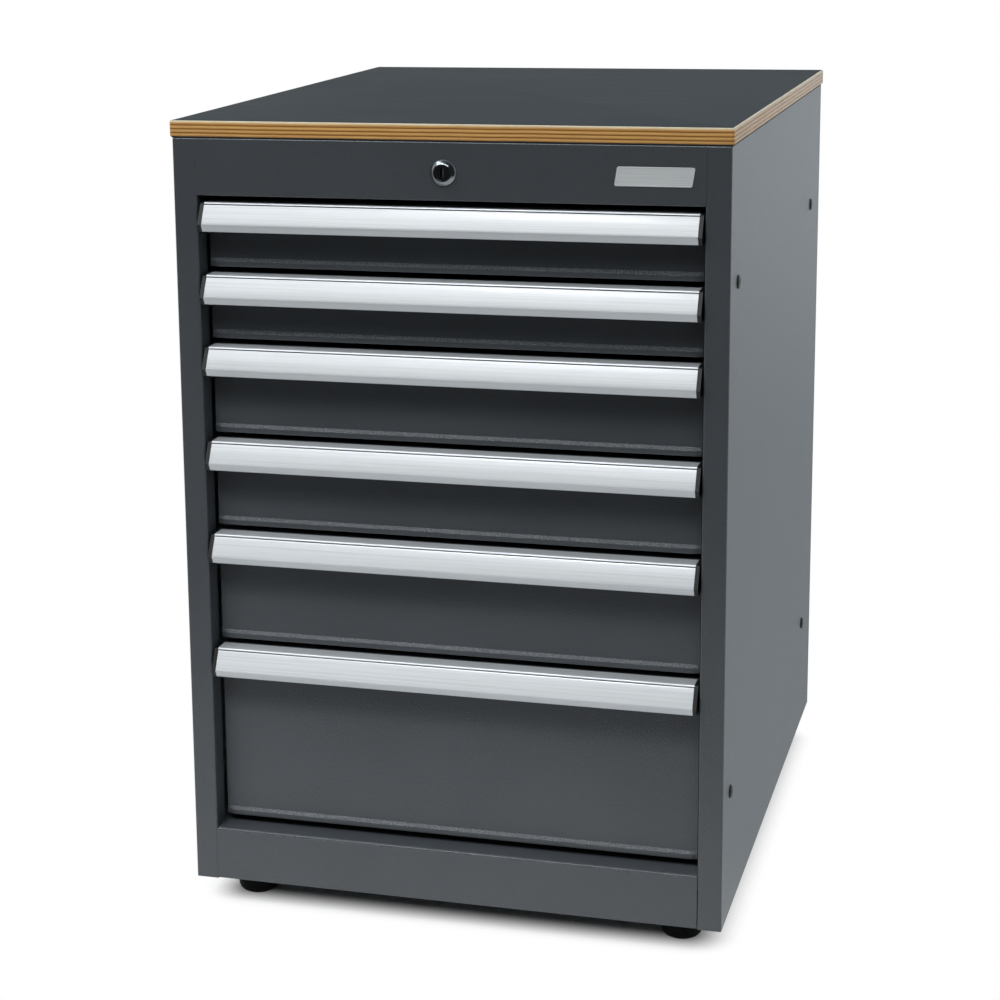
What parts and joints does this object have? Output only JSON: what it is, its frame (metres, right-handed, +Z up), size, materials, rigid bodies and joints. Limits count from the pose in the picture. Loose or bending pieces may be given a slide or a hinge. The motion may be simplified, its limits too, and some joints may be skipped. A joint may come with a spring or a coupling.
{
  "type": "drawer cabinet",
  "caption": "Steel workshop cabinet with recessed drawers on telescopic runners, full-width aluminium grips, a central lock, a plywood worktop and levelling feet.",
  "frame": {"origin": "on the floor, under the middle of the bounding box", "axes": "+Z up, the drawers face and open towards -Y, +X to the right seen from the front"},
  "size_m": [0.574, 0.734, 0.85],
  "materials": {
    "carcass_paint": "dark grey powder coat with a fine orange-peel texture",
    "drawer_paint": "mid grey powder coat",
    "worktop_plywood": "birch plywood with dark grey film on its faces and sealed bare edges",
    "zinc_steel": "bright zinc plated sheet",
    "handle_aluminium": "natural anodised extrusion",
    "label_film": "clear strip over a blank white label",
    "black_plastic": "moulded black plastic",
    "chrome": "polished plating",
    "foot_polyamide": "black polyamide pad moulded on a dark stud"
  },
  "bodies": {
    "cabinet": {"left_side_panel": "carcass_paint", "right_side_panel": "carcass_paint", "back_panel": "carcass_paint", "base_panel": "carcass_paint", "top_panel": "carcass_paint", "front_top_rail": "carcass_paint", "worktop": "worktop_plywood", "runner_uprights": "zinc_steel", "outer_runner_members": "zinc_steel", "side_hole_plugs": "black_plastic", "lock_housing": "chrome"},
    "lock_cylinder": {"lock_plug": "black_plastic", "lock_rod": "zinc_steel"},
    "lock_bar": {"lock_bar": "zinc_steel"},
    "foot_front_left": {"foot_front_left": "foot_polyamide"},
    "foot_front_right": {"foot_front_right": "foot_polyamide"},
    "foot_rear_left": {"foot_rear_left": "foot_polyamide"},
    "foot_rear_right": {"foot_rear_right": "foot_polyamide"},
    "drawer_1": {"drawer_1_box": "drawer_paint", "drawer_1_front": "carcass_paint", "drawer_1_handle": "handle_aluminium", "drawer_1_end_caps": "black_plastic", "drawer_1_label_strip": "label_film", "drawer_1_inner_members": "zinc_steel"},
    "slide_1": {"slide_1_middle_members": "zinc_steel"},
    "drawer_2": {"drawer_2_box": "drawer_paint", "drawer_2_front": "carcass_paint", "drawer_2_handle": "handle_aluminium", "drawer_2_end_caps": "black_plastic", "drawer_2_label_strip": "label_film", "drawer_2_inner_members": "zinc_steel"},
    "slide_2": {"slide_2_middle_members": "zinc_steel"},
    "drawer_3": {"drawer_3_box": "drawer_paint", "drawer_3_front": "carcass_paint", "drawer_3_handle": "handle_aluminium", "drawer_3_end_caps": "black_plastic", "drawer_3_label_strip": "label_film", "drawer_3_inner_members": "zinc_steel"},
    "slide_3": {"slide_3_middle_members": "zinc_steel"},
    "drawer_4": {"drawer_4_box": "drawer_paint", "drawer_4_front": "carcass_paint", "drawer_4_handle": "handle_aluminium", "drawer_4_end_caps": "black_plastic", "drawer_4_label_strip": "label_film", "drawer_4_inner_members": "zinc_steel"},
    "slide_4": {"slide_4_middle_members": "zinc_steel"},
    "drawer_5": {"drawer_5_box": "drawer_paint", "drawer_5_front": "carcass_paint", "drawer_5_handle": "handle_aluminium", "drawer_5_end_caps": "black_plastic", "drawer_5_label_strip": "label_film", "drawer_5_inner_members": "zinc_steel"},
    "slide_5": {"slide_5_middle_members": "zinc_steel"},
    "drawer_6": {"drawer_6_box": "drawer_paint", "drawer_6_front": "carcass_paint", "drawer_6_handle": "handle_aluminium", "drawer_6_end_caps": "black_plastic", "drawer_6_label_strip": "label_film", "drawer_6_inner_members": "zinc_steel"},
    "slide_6": {"slide_6_middle_members": "zinc_steel"}
  },
  "joints": [
    {"name": "drawer_1_slide", "type": "slide", "parent": "cabinet", "child": "drawer_1", "axis": [0, -1, 0], "range_m": [0, 0.6]},
    {"name": "runner_1_slide", "type": "slide", "parent": "cabinet", "child": "slide_1", "axis": [0, -1, 0], "range_m": [0, 0.3]},
    {"name": "drawer_2_slide", "type": "slide", "parent": "cabinet", "child": "drawer_2", "axis": [0, -1, 0], "range_m": [0, 0.6]},
    {"name": "runner_2_slide", "type": "slide", "parent": "cabinet", "child": "slide_2", "axis": [0, -1, 0], "range_m": [0, 0.3]},
    {"name": "drawer_3_slide", "type": "slide", "parent": "cabinet", "child": "drawer_3", "axis": [0, -1, 0], "range_m": [0, 0.6]},
    {"name": "runner_3_slide", "type": "slide", "parent": "cabinet", "child": "slide_3", "axis": [0, -1, 0], "range_m": [0, 0.3]},
    {"name": "drawer_4_slide", "type": "slide", "parent": "cabinet", "child": "drawer_4", "axis": [0, -1, 0], "range_m": [0, 0.6]},
    {"name": "runner_4_slide", "type": "slide", "parent": "cabinet", "child": "slide_4", "axis": [0, -1, 0], "range_m": [0, 0.3]},
    {"name": "drawer_5_slide", "type": "slide", "parent": "cabinet", "child": "drawer_5", "axis": [0, -1, 0], "range_m": [0, 0.6]},
    {"name": "runner_5_slide", "type": "slide", "parent": "cabinet", "child": "slide_5", "axis": [0, -1, 0], "range_m": [0, 0.3]},
    {"name": "drawer_6_slide", "type": "slide", "parent": "cabinet", "child": "drawer_6", "axis": [0, -1, 0], "range_m": [0, 0.6]},
    {"name": "runner_6_slide", "type": "slide", "parent": "cabinet", "child": "slide_6", "axis": [0, -1, 0], "range_m": [0, 0.3]},
    {"name": "lock_turn", "type": "hinge", "parent": "cabinet", "child": "lock_cylinder", "pos_m": [0, -0.36, 0.802], "axis": [0, -1, 0], "range_deg": [0, 90]},
    {"name": "lock_bar_lift", "type": "slide", "parent": "cabinet", "child": "lock_bar", "axis": [0, 0, 1], "range_m": [0, 0.01414]},
    {"name": "foot_front_left_screw", "type": "slide", "parent": "cabinet", "child": "foot_front_left", "axis": [0, 0, -1], "range_m": [0, 0.015]},
    {"name": "foot_front_right_screw", "type": "slide", "parent": "cabinet", "child": "foot_front_right", "axis": [0, 0, -1], "range_m": [0, 0.015]},
    {"name": "foot_rear_left_screw", "type": "slide", "parent": "cabinet", "child": "foot_rear_left", "axis": [0, 0, -1], "range_m": [0, 0.015]},
    {"name": "foot_rear_right_screw", "type": "slide", "parent": "cabinet", "child": "foot_rear_right", "axis": [0, 0, -1], "range_m": [0, 0.015]}
  ],
  "couplings": [
    {"joint": "runner_1_slide", "follows": "drawer_1_slide", "ratio": 0.5},
    {"joint": "runner_2_slide", "follows": "drawer_2_slide", "ratio": 0.5},
    {"joint": "runner_3_slide", "follows": "drawer_3_slide", "ratio": 0.5},
    {"joint": "runner_4_slide", "follows": "drawer_4_slide", "ratio": 0.5},
    {"joint": "runner_5_slide", "follows": "drawer_5_slide", "ratio": 0.5},
    {"joint": "runner_6_slide", "follows": "drawer_6_slide", "ratio": 0.5},
    {"joint": "lock_turn", "follows": "lock_bar_lift", "rad_per_m": 111.07}
  ]
}
